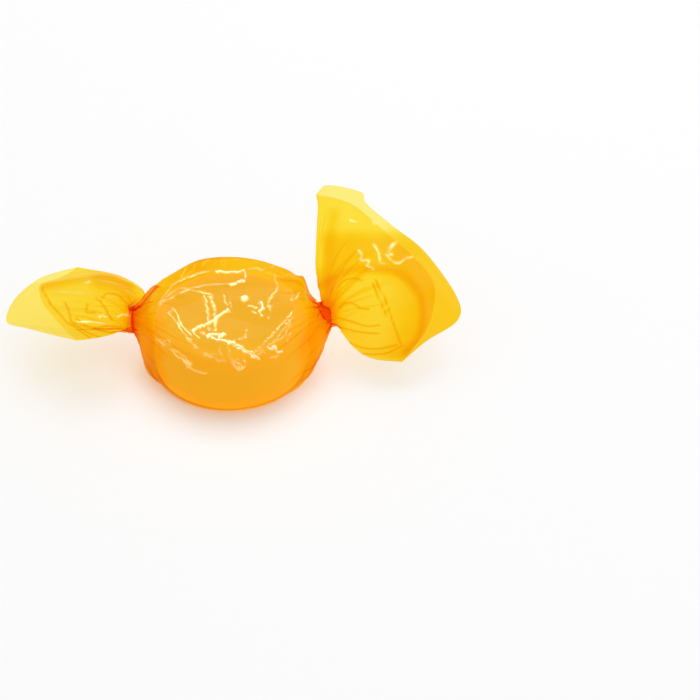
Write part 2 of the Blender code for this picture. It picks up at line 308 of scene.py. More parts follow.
# Creases in the tails, ridges that carry a painted highlight
TAIL_CREASES = [
    [(-22.9, 12.1), (-22.3, 12.4), (-21.5, 12.7)],
    [(-19.9, 7.4), (-19.4, 7.8), (-19.1, 7.4), (-18.6, 7.7)],
    [(-17.2, 7.4), (-16.5, 7.8), (-15.8, 7.7)],
    [(-23.3, 6.7), (-20.6, 6.6), (-18.2, 6.2)],
    [(19.2, 17.7), (19.8, 16.9), (19.7, 16.0), (20.9, 16.0), (20.7, 15.1), (21.6, 14.6)],
    [(21.7, 18.4), (22.4, 17.0), (22.6, 15.8), (23.3, 15.5)],
    [(24.6, 18.7), (23.9, 17.5), (24.4, 16.9), (23.5, 16.8), (25.2, 15.6), (26.6, 16.4), (28.4, 16.7)],
    [(18.0, 22.1), (19.5, 21.5)],
    [(21.3, 22.5), (21.8, 21.5), (22.3, 22.5), (22.2, 21.4)],
    [(25.7, 19.1), (24.6, 18.4), (23.9, 17.3)],
]

# Turns a point half round the upright axis
HALF_TURN = np.array([-1.0, -1.0, 1.0])

# How far each kind of mark stands up, as a share of the crease height, and how strongly it carries a painted
# highlight
MARK_HEIGHTS = {"candy": 1.0, "tail": 1.0, "bold": 1.5, "folds": -1.0, "bands": 2.0}
MARK_PAINTED_GLINT = {"candy": 0.6, "bold": 1.0, "tail": 0.8}
# How high the streaks over the candy stand, as a share of the pleats' depth
STREAK_SHARE = 0.4
# How many layers of film each kind of mark adds, and each neck: layers, and the distance over which they fade.
# On the crumples these layers are painted shade that makes facets deeper or paler.
MARK_LAYERS = {"crumples": 0.5, "folds": 3.0, "bands": 1.8, "left_edge": 0.9, "fans": 1.7}
NECK_LAYERS = [(3.2, 1.3 * MM), (0.7, 3.2 * MM)]
NECK_CORE = 1.5 * MM
LOWEST_FILM = 0.03 * MM

# The lamps' light that the film and the sugar let through onto the table: its share and its colour
LAMPS_THROUGH_FILM = 0.95
LIT_THROUGH_FILM = (0.93, 0.93, 0.93)
LAMPS_THROUGH_SUGAR = 0.6
LIT_THROUGH_SUGAR = (0.80, 0.28, 0.04)

# The film's shine: its share at the edge and face on; on a crease, the share of the painted glint, and the
# painted highlight's colours and glow
EDGE_MIRROR = 0.25
FACE_MIRROR = 0.004
CREASE_PAINTED_GLINT_SHARE = 0.7
FINE_CREASE_PAINTED_HIGHLIGHT = (1.0, 0.82, 0.36, 1.0)
BOLD_CREASE_PAINTED_HIGHLIGHT = (1.0, 0.96, 0.80, 1.0)
CREASE_PAINTED_GLOW = 0.6
FILM_RIPPLES = 420.0
FILM_RIPPLE_DEPTH = 0.08 * MM

# The sugar: how many streaks it shows for each metre, and how far light wanders in it
SUGAR_STREAKS = 120.0
SUGAR_DEPTH = 8.0 * MM

# The stage
KEY_LIGHT_AT = (0.04, 0.5, 1.1)
KEY_LIGHT_SIZE = 1.0
FRONT_LIGHT_AT = (0.5, -0.7, 1.0)
FRONT_LIGHT_SIZE = 0.8
SURROUNDINGS = 0.32


def smoothstep(value):
    """0 below 0, 1 above 1, and a smooth step between."""
    value = np.clip(value, 0.0, 1.0)
    return value * value * (3.0 - 2.0 * value)


def near_angle(angles, middle, width):
    """A weight for each angle round the twist axis: 1 at the middle, fading out over the width."""
    off = np.angle(np.exp(1j * (angles - middle)))
    return np.exp(-((off / width) ** 2))


def around_angles():
    """The tube's angles round the twist axis: 0 points along +Y and a quarter turn along +Z."""
    return np.arange(AROUND) * 2.0 * math.pi / AROUND


def pleat_wave(angles):
    """The solid's broad pleats, from -1 in a furrow to 1 on a crest, unevenly spaced and sized."""
    height = 0.8 + 0.2 * np.cos(3.0 * angles + 0.6)
    return height * np.cos(PLEATS * angles + 1.2 * np.sin(2.0 * angles + 0.7))


def fold_wave(turns):
    """A sharp-crested fold that repeats with each whole turn, from -1 to 1."""
    wave = np.sin(math.pi * turns)
    return 1.0 - 2.0 * np.sqrt(wave * wave + CREASE_ROUND**2)


def corner_angles(reach):
    """The tube's angles at a section, drawn towards its four corners. reach is back, top, front, bottom."""
    quarter = AROUND // 4
    steps = np.arange(quarter // 2) / (quarter / 2)
    bunched = 0.55 * np.sin(0.5 * math.pi * steps) + 0.45 * steps
    share = smoothstep((max(reach) / NECK_RADIUS - 1.0) / 2.5)
    rise = (1.0 - share) * steps + share * bunched
    angles = []
    for side in range(4):
        ahead = reach[(side + 1) % 4]
        corner = math.atan2(ahead, reach[side])
        angles.extend(side * math.pi / 2.0 + corner * rise)
        fall = 1.0 - np.concatenate([rise[1:], [1.0]])[::-1]
        angles.extend(side * math.pi / 2.0 + corner + (math.pi / 2.0 - corner) * fall)
    return np.array(angles)


def neck_support(directions):
    """How far a neck's ring reaches in each direction of the YZ plane."""
    return NECK_Y * np.cos(directions) + NECK_Z * np.sin(directions) + NECK_RADIUS


def slice_support(x, directions):
    """How far the film reaches on the candy's own slice at x, its edges rounded by the film."""
    half_width = math.sqrt(max((CANDY_RADIUS - FILM_EDGE_ROUND) ** 2 - x * x, 0.0))
    rise = np.sin(directions)
    height = np.where(rise > 0.0, CANDY_HEIGHT - FILM_EDGE_ROUND, FILM_EDGE_ROUND)
    return half_width * np.abs(np.cos(directions)) + height * rise + FILM_EDGE_ROUND


def taut_support(x, directions):
    """How far the film reaches at x when it is stretched from neck to neck over the candy."""
    limit = CANDY_RADIUS - FILM_EDGE_ROUND
    reach = neck_support(directions)
    if abs(x) < limit:
        reach = np.maximum(reach, slice_support(x, directions))
    for slice_x in np.linspace(-limit, limit, SLICES):
        neck_x = NECK_X if x > slice_x else -NECK_X
        share = (x - slice_x) / (neck_x - slice_x)
        between = (1.0 - share) * slice_support(slice_x, directions) + share * neck_support(directions)
        reach = np.maximum(reach, between)
    return reach


def slack(x, directions):
    """How much further than taut the film reaches at x."""
    place = (x - SLACK_MIDDLE) / (NECK_X - math.copysign(SLACK_MIDDLE, x - SLACK_MIDDLE))
    along = max(1.0 - place * place, 0.0) ** SLACK_FULLNESS
    along *= smoothstep((NECK_X - abs(x)) / SLACK_FADE)
    return SLACK * along * np.maximum(np.cos(directions - SLACK_DIRECTION), 0.0)


def section_centre(x):
    """The point inside the section at x that its angles are measured from, as y and z."""
    share = smoothstep((abs(x) / NECK_X - 0.35) / 0.65)
    return NECK_Y * share, CANDY_HEIGHT / 2.0 + (NECK_Z - CANDY_HEIGHT / 2.0) * share


def gathered(distance, angles, turns, settings):
    """How much of its radius the film keeps at each angle, this far from a neck."""
    deep = settings.gather_depth * math.exp(-((distance / GATHER_REACH) ** 1.6))
    broad = BROAD_GATHER_DEPTH * math.exp(-((distance / BROAD_GATHER_REACH) ** 2))
    uneven = 1.1 * np.sin(2.0 * angles + 0.4) + 0.6 * np.sin(5.0 * angles + 2.0)
    folds = 0.5 + 0.5 * fold_wave((settings.gathers * (angles + turns) + uneven) / (2.0 * math.pi))
    drift = 1.5 * np.sin(3.0 * angles)
    coarse = 0.5 + 0.5 * fold_wave((BROAD_GATHERS * (angles + turns) + drift) / (2.0 * math.pi))
    return 1.0 - deep * folds - broad * coarse


def wound(offsets, keep, side, settings):
    """Offsets from the twist axis, as y and z, with each fold laid over to one side as the twist lays it."""
    turn = side * settings.winding * (1.0 - keep)
    y, z = offsets[:, 0] * keep, offsets[:, 1] * keep
    return np.column_stack([y * np.cos(turn) - z * np.sin(turn), y * np.sin(turn) + z * np.cos(turn)])


def tip_over(points, weight):
    """Leans a section's upper side towards the candy, and its lower side a little away from it."""
    rise = np.clip(points[:, 2] - NECK_Z, -0.5 * NECK_RADIUS, NECK_RADIUS)
    points[:, 0] -= NECK_TIP * weight * rise


def body_row(x, settings):
    """The film's closed section at x, as AROUND points."""
    directions = np.arange(DIRECTIONS) * 2.0 * math.pi / DIRECTIONS
    centre_y, centre_z = section_centre(x)
    reach = taut_support(x, directions) + slack(x, directions)
    reach = reach - centre_y * np.cos(directions) - centre_z * np.sin(directions)
    angles = corner_angles(reach[:: DIRECTIONS // 4])
    facing = np.cos(directions[None, :] - angles[:, None])
    radii = np.where(facing > 0.02, reach[None, :] / np.maximum(facing, 0.02), np.inf).min(axis=1)
    pleated = smoothstep((abs(x) - (NECK_X - PLEAT_REACH)) / PLEAT_REACH)
    even = around_angles()
    radii = radii * (1.0 + PLEAT_SHARE * pleated * pleat_wave(even + math.copysign(PLEAT_TURN, x) * pleated))
    distance = NECK_X - abs(x)
    turns = math.copysign(NECK_TURN, x) * math.exp(-distance / TURN_REACH)
    keep = gathered(distance, even, turns, settings)
    bagged = math.sin(math.pi * smoothstep((abs(x) / NECK_X - 0.55) / 0.45))
    points = np.empty((AROUND, 3))
    points[:, 0] = x + math.copysign(BAG, x) * bagged * near_angle(angles, BAG_DIRECTION, BAG_WIDTH)
    offsets = radii[:, None] * np.column_stack([np.cos(angles), np.sin(angles)])
    points[:, 1:] = (centre_y, centre_z) + wound(offsets, keep, math.copysign(1.0, x), settings)
    tip_over(points, smoothstep((x - NECK_X + NECK_TIP_REACH) / NECK_TIP_REACH))
    return points


def spline(path, places):
    """The points of a smooth curve through a path, at these places, which count the path's own steps."""
    given = np.array(path)
    padded = np.vstack([2 * given[0] - given[1], given, 2 * given[-1] - given[-2]])
    first = np.minimum(places.astype(int), len(given) - 2)
    t = (places - first)[:, None]
    p0, p1, p2, p3 = (padded[first + k] for k in range(4))
    return 0.5 * (
        2 * p1 + (p2 - p0) * t + (2 * p0 - 5 * p1 + 4 * p2 - p3) * t**2 + (3 * p1 - p0 - 3 * p2 + p3) * t**3
    )


def edge_curve(edge, count):
    """The wall's cut edge as count points, evenly spaced in the list's own steps."""
    return spline(edge, np.linspace(0.0, len(edge) - 1.0, count)) * MM


def cut_loop(first_wall, second_wall, corner_angle):
    """The tail's whole cut edge, in the order of the tube's angles. Its first corner is at corner_angle."""
    half = AROUND // 2
    loop = np.vstack([edge_curve(first_wall, half + 1)[:-1], edge_curve(second_wall, half + 1)[:-1]])
    return np.roll(loop, round(corner_angle / (2.0 * math.pi) * AROUND), axis=0)


def tail_rows(tail, loop, settings):
    """The tail's sections from its neck out to its cut edge, which spread fast and then run straight."""
    side = tail["side"]
    angles = around_angles()
    neck = np.array([side * NECK_X, NECK_Y, NECK_Z])
    ring = np.column_stack([np.zeros(AROUND), np.cos(angles), np.sin(angles)])
    backward = near_angle(angles, tail["back"], BACK_WIDTH)
    flare = NEAR_FLARE + (tail["back_flare"] - NEAR_FLARE) * backward
    between_corners = np.abs(np.sin(angles - tail["corner"]))
    rows = []
    for step in range(1, TAIL_STATIONS + 1):
        share = (step / TAIL_STATIONS) ** TAIL_CROWDING
        left = 1.0 - share
        spread = STEADY_SPREAD * share + (1.0 - STEADY_SPREAD) * (1.0 - left**flare)
        distance = share * 20.0 * MM
        keep = gathered(distance, angles, side * NECK_TURN * math.exp(-distance / TURN_REACH), settings)
        offsets = ring[:, 1:] * (NECK_RADIUS * (1.0 - spread))[:, None] + loop[:, 1:] * spread[:, None]
        points = np.tile(neck, (AROUND, 1))
        points[:, 1:] += wound(offsets, keep, side, settings)
        points[:, 0] += side * NECK_HALF_LENGTH * left + loop[:, 0] * share
        leant = smoothstep(spread / tail["leant_at"]) * left**LEAN_FADE
        points[:, 0] -= side * tail["lean"] * backward * leant
        depth = TAIL_PLEAT_DEPTH * math.sin(math.pi * min(share + 0.08, 1.0)) ** 0.8
        turned = angles + side * PLEAT_TURN * left**4
        points += ring * (depth * between_corners * pleat_wave(turned))[:, None]
        if tail is TALL_TAIL:
            bulge = POUCH_BULGE * near_angle(angles, POUCH_DIRECTION, POUCH_WIDTH)
            points += ring * (bulge * math.sin(math.pi * share**0.8) ** 1.5)[:, None]
            tip_over(points, left**2)
        rows.append(points)
    return rows


def film_grid(settings):
    """The film's points before its fine relief, as rows from the flat tail's cut edge to the tall tail's."""
    flat = cut_loop(FLAT_TAIL_UPPER_EDGE, FLAT_TAIL_LOWER_EDGE, FLAT_TAIL["corner"])
    tall = cut_loop(TALL_TAIL_NEAR_EDGE, TALL_TAIL_FAR_EDGE, TALL_TAIL["corner"])
    turns = np.linspace(-1.0, 1.0, BODY_STATIONS)
    places = 0.6 * np.sin(turns * math.pi / 2.0) + 0.4 * turns
    body = [body_row(NECK_X * place, settings) for place in places]
    return np.array(tail_rows(FLAT_TAIL, flat, settings)[::-1] + body + tail_rows(TALL_TAIL, tall, settings))


def front_view(points):
    """Where points lie in the front view, in millimetres right of and above the candy's foot."""
    eye = np.array(CAMERA_AT)
    ahead = np.array(CAMERA_AIM) - eye
    ahead /= np.linalg.norm(ahead)
    right = np.cross(ahead, (0.0, 0.0, 1.0))
    right /= np.linalg.norm(right)
    up = np.cross(right, ahead)
    offset = points - eye
    depth = offset @ ahead
    return np.stack([offset @ right / depth, offset @ up / depth], axis=-1) * FRONT_DISTANCE + FRONT_MIDDLE


def along_paths(seen, paths, width):
    """1 on the nearest path and fading out over the width, in millimetres of the front view."""
    nearest = np.full(seen.shape[:-1], np.inf)
    for path in paths:
        curve = spline(path, np.linspace(0.0, len(path) - 1.0, 4 * len(path)))
        for start, end in zip(curve, curve[1:]):
            run = end - start
            share = np.clip(((seen - start) @ run) / max(run @ run, 1e-9), 0.0, 1.0)
            gap = np.linalg.norm(seen - start - share[..., None] * run, axis=-1)
            nearest = np.minimum(nearest, gap)
    return np.exp(-((nearest / width) ** 2))


def grid_normals(grid):
    """Outward unit normals of a grid that closes round its columns."""
    along = np.gradient(grid, axis=0)
    across = np.roll(grid, -1, axis=1) - np.roll(grid, 1, axis=1)
    normals = np.cross(across, along)
    lengths = np.linalg.norm(normals, axis=2, keepdims=True)
    return normals / np.maximum(lengths, 1e-12)


def crumple(grid, normals):
    """The film's broad, sharp-edged crumples over the candy, from -1 to 1."""
    x, y, z = grid[..., 0], grid[..., 1], grid[..., 2]
    body = smoothstep((NECK_X - np.abs(x)) / (5.0 * MM))
    up = smoothstep(normals[..., 2] * 1.4 + normals[..., 1] * 0.8)
    broad = np.zeros_like(x)
    for direction, spacing, place in CREASES:
        broad += fold_wave((x * math.cos(direction) + y * math.sin(direction)) / spacing + place)
    return body * up * broad / 2.0


def fan_pleats(grid):
    """Fine pleats that fan out of each neck into its tail, from -1 to 1."""
    rows = np.arange(len(grid))
    out = np.maximum(TAIL_STATIONS - rows, rows - (len(grid) - 1 - TAIL_STATIONS)) / TAIL_STATIONS
    share = np.clip(out, 0.0, 1.0)[:, None]
    angles = around_angles()[None, :]
    drift = 2.2 * np.sin(3.0 * angles + 1.0) + 3.0 * share * np.sin(5.0 * angles)
    turns = (TAIL_PLEATS * angles + drift) / (2.0 * math.pi)
    fade = smoothstep(share * 6.0) * smoothstep((0.8 - share) / 0.5)
    flat = rows[:, None] < len(grid) // 2
    corner = np.where(flat, FLAT_TAIL["corner"], TALL_TAIL["corner"])
    fade = fade * smoothstep(2.5 * np.abs(np.sin(angles - corner)) - 0.3)
    return fold_wave(turns) * fade * (0.6 + 0.4 * np.sin(4.0 * angles + 2.0))


def body_pleats(grid):
    """Fine pleats that run out of each neck over the candy, from -1 to 1."""
    distance = NECK_X - np.abs(grid[..., 0])
    angles = around_angles()[None, :]
    drift = 2.4 * np.sin(3.0 * angles + 0.5) + np.sin(7.0 * angles)
    turns = (BODY_PLEATS * angles + drift) / (2.0 * math.pi)
    fade = smoothstep(distance / BODY_PLEAT_START)
    fade *= smoothstep((BODY_PLEAT_REACH - distance) / BODY_PLEAT_FADE)
    return fold_wave(turns) * fade * (0.6 + 0.4 * np.sin(5.0 * angles + 1.0))


def tail_masks(grid):
    """1 in the flat tail and 0 elsewhere, and the same for the tall tail."""
    rows = np.arange(len(grid))[:, None]
    flat_tail = (rows < TAIL_STATIONS) * np.ones(grid.shape[:2])
    return flat_tail, flat_tail[::-1]


def film_marks(grid, normals):
    """How strong each kind of crease, fold, pleat and crumple is at each point of the grid."""
    seen = front_view(grid)
    across, up = seen[..., 0], seen[..., 1]
    eye = np.array(CAMERA_AT) - grid
    facing = np.einsum("rci,rci->rc", normals, eye) / np.linalg.norm(eye, axis=-1)
    near = smoothstep(facing * 5.0)
    flat_tail, tall_tail = tail_masks(grid)
    tail = flat_tail + tall_tail
    breaks = np.sin(across * 1.7 + 2.0 * np.sin(up * 1.3)) * np.sin(up * 2.3 + across * 0.9)
    broken = smoothstep(0.7 + 0.5 * breaks)
    uneven = np.sin(across * 3.1 + 2.0 * np.sin(up * 2.7)) * np.sin(up * 3.7 + across)
    sideways = np.sin(5.3 * up + 2.0 * np.sin(2.9 * across))
    upward = np.sin(6.1 * across + 2.5 * np.sin(2.3 * across + 1.7 * up))
    strayed = np.stack([sideways, upward], axis=-1) * np.clip(facing, 0.0, 1.0)[..., None]
    jagged = seen + CREASE_JITTER * strayed
    candy = near * (1.0 - tail) * broken * along_paths(jagged, CANDY_CREASES, FINE_WIDTH)
    bold = near * (1.0 - tail) * along_paths(jagged, BOLD_CREASES, BOLD_WIDTH + BOLD_UNEVENNESS * uneven)
    behind = front_view(grid * HALF_TURN)
    far_side = (1.0 - tail) * smoothstep(grid[..., 1] / (4.0 * MM) - 0.5)
    far_side *= smoothstep(1.0 - 1.6 * normals[..., 2])
    candy += far_side * broken * along_paths(behind, CANDY_CREASES, FINE_WIDTH)
    bold += far_side * along_paths(behind, BOLD_CREASES, FAR_BOLD_WIDTH)
    return {
        "candy": candy,
        "bold": bold,
        "tail": near * tail * broken * along_paths(seen, TAIL_CREASES, TAIL_CREASE_WIDTH),
        "folds": near * tail * along_paths(seen, FLAT_TAIL_FOLDS + TALL_TAIL_FOLDS, FOLD_WIDTH),
        "bands": near * tail * along_paths(seen, FLAT_TAIL_BANDS + TALL_TAIL_BANDS, BAND_WIDTH),
        "left_edge": near * tail * along_paths(seen, [TALL_TAIL_LEFT], LEFT_EDGE_WIDTH),
        "fans": near * along_paths(seen, NECK_FANS, FAN_WIDTH),
        "pleats": fan_pleats(grid),
        "streaks": body_pleats(grid),
        "crumples": crumple(grid, normals),
    }


def film_layers(grid, marks):
    """How many layers of film lie at each point of the grid: more beside the candy, at necks and in folds."""
    x, y, z = grid[..., 0], grid[..., 1], grid[..., 2]
    seen = front_view(grid)
    across, up = seen[..., 0], seen[..., 1]
    flat_tail, tall_tail = tail_masks(grid)
    tail = flat_tail + tall_tail
    angles = around_angles()[None, :]
    # Beside and behind the candy
    beside = smoothstep((np.hypot(x, y) - 11.7 * MM) / (1.0 * MM)) * smoothstep(y / (4.0 * MM) + 2.6)
    layers = 1.0 + (1.0 - tail) * beside * (1.9 + 0.8 * smoothstep(y / (4.0 * MM)))
    # At the necks
    off_axis = np.maximum(np.hypot(y - NECK_Y, z - NECK_Z) - NECK_CORE, 0.0)
    neck_distance = np.hypot(np.abs(x) - NECK_X, off_axis)
    for added, reach in NECK_LAYERS:
        layers += added * np.exp(-((neck_distance / reach) ** 2))
    # In the flat tail's lower wall, then in the tall tail's far wall outside the pouch, and at its right,
    # where the colour deepens towards the edge as painted shade
    lower = flat_tail * smoothstep(-8.0 * np.sin(angles - FLAT_TAIL["corner"]))
    layers += 0.5 * lower * smoothstep((12.9 - up) / 0.5)
    far = tall_tail * smoothstep(-8.0 * np.sin(angles - TALL_TAIL["corner"]))
    pouch = np.exp(-((np.hypot(across - 21.5, up - 8.0) / 7.5) ** 6))
    layers += far * smoothstep((21.5 - up) / 3.0) * smoothstep((across - 13.2) / 1.5) * (1.9 - 1.6 * pouch)
    # Painted shade: deeper towards the tall tail's right edge
    layers += 0.5 * tall_tail * smoothstep((across - 22.0) / 5.0)
    # In the pleats and folds
    layers += 1.2 * smoothstep((marks["pleats"] - 0.05) / 0.5)
    layers += 1.1 * smoothstep((marks["streaks"] - 0.05) / 0.4)
    # On the crumples the added layers are painted shade that sets the facets apart, not more film
    for name, added in MARK_LAYERS.items():
        layers += added * marks[name]
    return layers


def dressed_film(settings):
    """The film's grid with its relief, how many layers deep it is, and how strongly its creases carry a
    painted highlight.
    """
    grid = film_grid(settings)
    normals = grid_normals(grid)
    marks = film_marks(grid, normals)
    height = settings.crumple_depth * marks["crumples"]
    height += settings.pleat_depth * (marks["pleats"] + STREAK_SHARE * marks["streaks"])
    for name, share in MARK_HEIGHTS.items():
        height += settings.crease_height * share * marks[name]
    # Painted highlights along the creases: glints that are coloured in and glow, not lit by the lamps
    painted_glint_share = np.clip(sum(share * marks[name] for name, share in MARK_PAINTED_GLINT.items()), 0.0, 1.0)
    layers = film_layers(grid, marks)
    grid = grid + normals * height[..., None]
    grid[..., 2] = np.maximum(grid[..., 2], LOWEST_FILM)
    return grid, layers, painted_glint_share


def twist_rosette(ring, side):
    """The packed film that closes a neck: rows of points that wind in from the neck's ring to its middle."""
    middle = ring.mean(axis=0)
    rows = []
    for step in range(ROSETTE_STEPS + 1):
        share = step / ROSETTE_STEPS
        turn = side * ROSETTE_TURN * share
        offsets = (ring - middle) * (1.0 - (1.0 - ROSETTE_HOLE) * share)
        row = np.empty_like(ring)
        row[:, 0] = middle[0] + offsets[:, 0] + side * ROSETTE_RISE * math.sin(0.5 * math.pi * share)
        row[:, 1] = middle[1] + offsets[:, 1] * math.cos(turn) - offsets[:, 2] * math.sin(turn)
        row[:, 2] = middle[2] + offsets[:, 1] * math.sin(turn) + offsets[:, 2] * math.cos(turn)
        rows.append(row)
    return np.array(rows)


def tube_faces(rows):
    """Quads between rows of AROUND points, closed round the tube."""
    faces = []
    for row in range(rows - 1):
        here = row * AROUND
        for i in range(AROUND):
            j = (i + 1) % AROUND
            faces.append((here + i, here + j, here + AROUND + j, here + AROUND + i))
    return faces


class FilmSettings(bpy.types.PropertyGroup):
    """Sizes and colour of the twisted film."""

    tint: FloatVectorProperty(
        name="Tint",
        description="Colour of the light that passes one layer of film",
        subtype="COLOR",
        size=3,
        min=0.0,
        max=1.0,
        default=(0.993, 0.86, 0.21),
    )
    roughness: FloatProperty(
        name="Roughness", description="How dull the film's shine is", min=0.0, max=1.0, default=0.07
    )
    gathers: IntProperty(
        name="Gathers", description="How many deep folds the film takes at a neck", min=8, max=40, default=22
    )
    gather_depth: FloatProperty(
        name="Gather depth",
        description="How far the folds reach into the neck, as a share of its radius",
        min=0.0,
        max=0.9,
        default=0.14,
    )
    winding: FloatProperty(
        name="Winding",
        description="How far the neck's folds are laid over by the twist",
        unit="ROTATION",
        min=0.0,
        max=math.radians(180),
        default=math.radians(35),
    )
    crumple_depth: FloatProperty(
        name="Crumple depth",
        description="Depth of the broad crumples over the candy",
        unit="LENGTH",
        min=0.0,
        max=1.0 * MM,
        default=0.2 * MM,
    )
    pleat_depth: FloatProperty(
        name="Pleat depth",
        description="Depth of the fine pleats in the tails",
        unit="LENGTH",
        min=0.0,
        max=0.6 * MM,
        default=0.14 * MM,
    )
    crease_height: FloatProperty(
        name="Crease height",
        description="How far a sharp crease stands up",
        unit="LENGTH",
        min=0.0,
        max=0.5 * MM,
        default=0.11 * MM,
    )


class SugarSettings(bpy.types.PropertyGroup):
    """Sizes and colour of the candy inside."""

    radius: FloatProperty(
        name="Radius",
        description="Radius of the disc",
        unit="LENGTH",
        min=5 * MM,
        max=12 * MM,
        default=11.55 * MM,
    )
    height: FloatProperty(
        name="Height",
        description="Thickness of the disc",
        unit="LENGTH",
        min=3 * MM,
        max=9.4 * MM,
        default=9.0 * MM,
    )
    edge_round: FloatProperty(
        name="Edge rounding",
        description="Radius of the disc's rounded upper edge",
        unit="LENGTH",
        min=0.1 * MM,
        max=3 * MM,
        default=2.0 * MM,
    )
    foot_round: FloatProperty(
        name="Foot rounding",
        description="Radius of the disc's rounded lower edge",
        unit="LENGTH",
        min=0.1 * MM,
        max=3 * MM,
        default=0.8 * MM,
    )
    dish: FloatProperty(
        name="Dish",
        description="How far each face sinks towards its middle",
        unit="LENGTH",
        min=0.0,
        max=1.5 * MM,
        default=0.3 * MM,
    )
    lean: FloatProperty(
        name="Lean",
        description="How far the disc leans forward in its film",
        unit="ROTATION",
        min=0.0,
        max=math.radians(8),
        default=math.radians(3.5),
    )
    colour: FloatVectorProperty(
        name="Colour",
        description="Colour of the sugar's surface",
        subtype="COLOR",
        size=3,
        min=0.0,
        max=1.0,
        default=(0.40, 0.22, 0.04),
    )
    # The sugar's two glows are painted light: it gives off light of its own in place of light through the
    # cloudy sugar, and its side glows more so that it looks as lit as the faces
    face_painted_glow: FloatVectorProperty(
        name="Face glow",
        description="Colour of the light that the cloudy sugar gives back through its two faces",
        subtype="COLOR",
        size=3,
        min=0.0,
        max=1.0,
        default=(0.515, 0.303, 0.068),
    )
    side_painted_glow: FloatVectorProperty(
        name="Side glow",
        description="Colour of the light that leaves the sugar through its side",
        subtype="COLOR",
        size=3,
        min=0.0,
        max=1.0,
        default=(0.60, 0.31, 0.045),
    )


class StageSettings(bpy.types.PropertyGroup):
    """The pale floor and the lights."""

    floor_size: FloatProperty(
        name="Floor size",
        description="Side of the square floor",
        unit="LENGTH",
        min=0.2,
        max=5.0,
        default=3.0,
    )
    key_power: FloatProperty(
        name="Key light",
        description="Power of the large soft light, in watts",
        min=0.0,
        max=50.0,
        default=10.25,
    )
    front_power: FloatProperty(
        name="Front light",
        description="Power of the soft light in front, in watts",
        min=0.0,
        max=50.0,
        default=4.6,
    )
    lens: FloatProperty(
        name="Lens",
        description="The camera's focal length in millimetres",
        min=10.0,
        max=300.0,
        default=108.3,
    )


class Wire:
    """A shader socket that can stand in a sum, so that shader maths reads as an expression."""

    def __init__(self, finish, socket):
        self.finish = finish
        self.socket = socket

    def _math(self, operation, first, second=None):
        values = {0: first} if second is None else {0: first, 1: second}
        return self.finish.add("ShaderNodeMath", {"operation": operation}, values, 0)

    def __add__(self, other):
        return self._math("ADD", self, other)

    __radd__ = __add__

    def __sub__(self, other):
        return self._math("SUBTRACT", self, other)

    def __rsub__(self, other):
        return self._math("SUBTRACT", other, self)

    def __mul__(self, other):
        return self._math("MULTIPLY", self, other)

    __rmul__ = __mul__

    def __pow__(self, other):
        return self._math("POWER", self, other)


class Finish:
    """A material being made, and the one way that nodes are added to it."""

    def __init__(self, name):
        self.material = bpy.data.materials.new(name)
        self.material.use_nodes = True
        self.tree = self.material.node_tree
        self.tree.nodes.clear()

    def add(self, kind, settings, values, output):
        """Adds a node of this kind, sets it, fills its sockets, and gives the output asked for."""
        node = self.tree.nodes.new(kind)
        for name, value in settings.items():
            setattr(node, name, value)
        for key, value in values.items():
            if isinstance(value, Wire):
                self.tree.links.new(value.socket, node.inputs[key])
            else:
                node.inputs[key].default_value = value
        return Wire(self, node.outputs[output]) if output is not None else node

    def mix(self, factor, first, second):
        """A colour between two colours."""
        return self.add("ShaderNodeMix", {"data_type": "RGBA"}, {0: factor, 6: first, 7: second}, 2)

    def blend(self, factor, first, second):
        """A shader between two shaders."""
        return self.add("ShaderNodeMixShader", {}, {0: factor, 1: first, 2: second}, "Shader")

    def clamped(self, value):
        """A value held between 0 and 1."""
        return self.add("ShaderNodeClamp", {}, {"Value": value}, "Result")

    def layered(self, tint, layers):
        """A see-through shader that colours what is behind it, as this many layers of the tint do."""
        colour = [value**layers for value in tint]
        return self.add("ShaderNodeBsdfTransparent", {}, {"Color": (*colour, 1.0)}, "BSDF")

    def surface(self, shader):
        """Makes this shader the material's surface."""
        self.add("ShaderNodeOutputMaterial", {}, {"Surface": shader}, None)
        return self.material


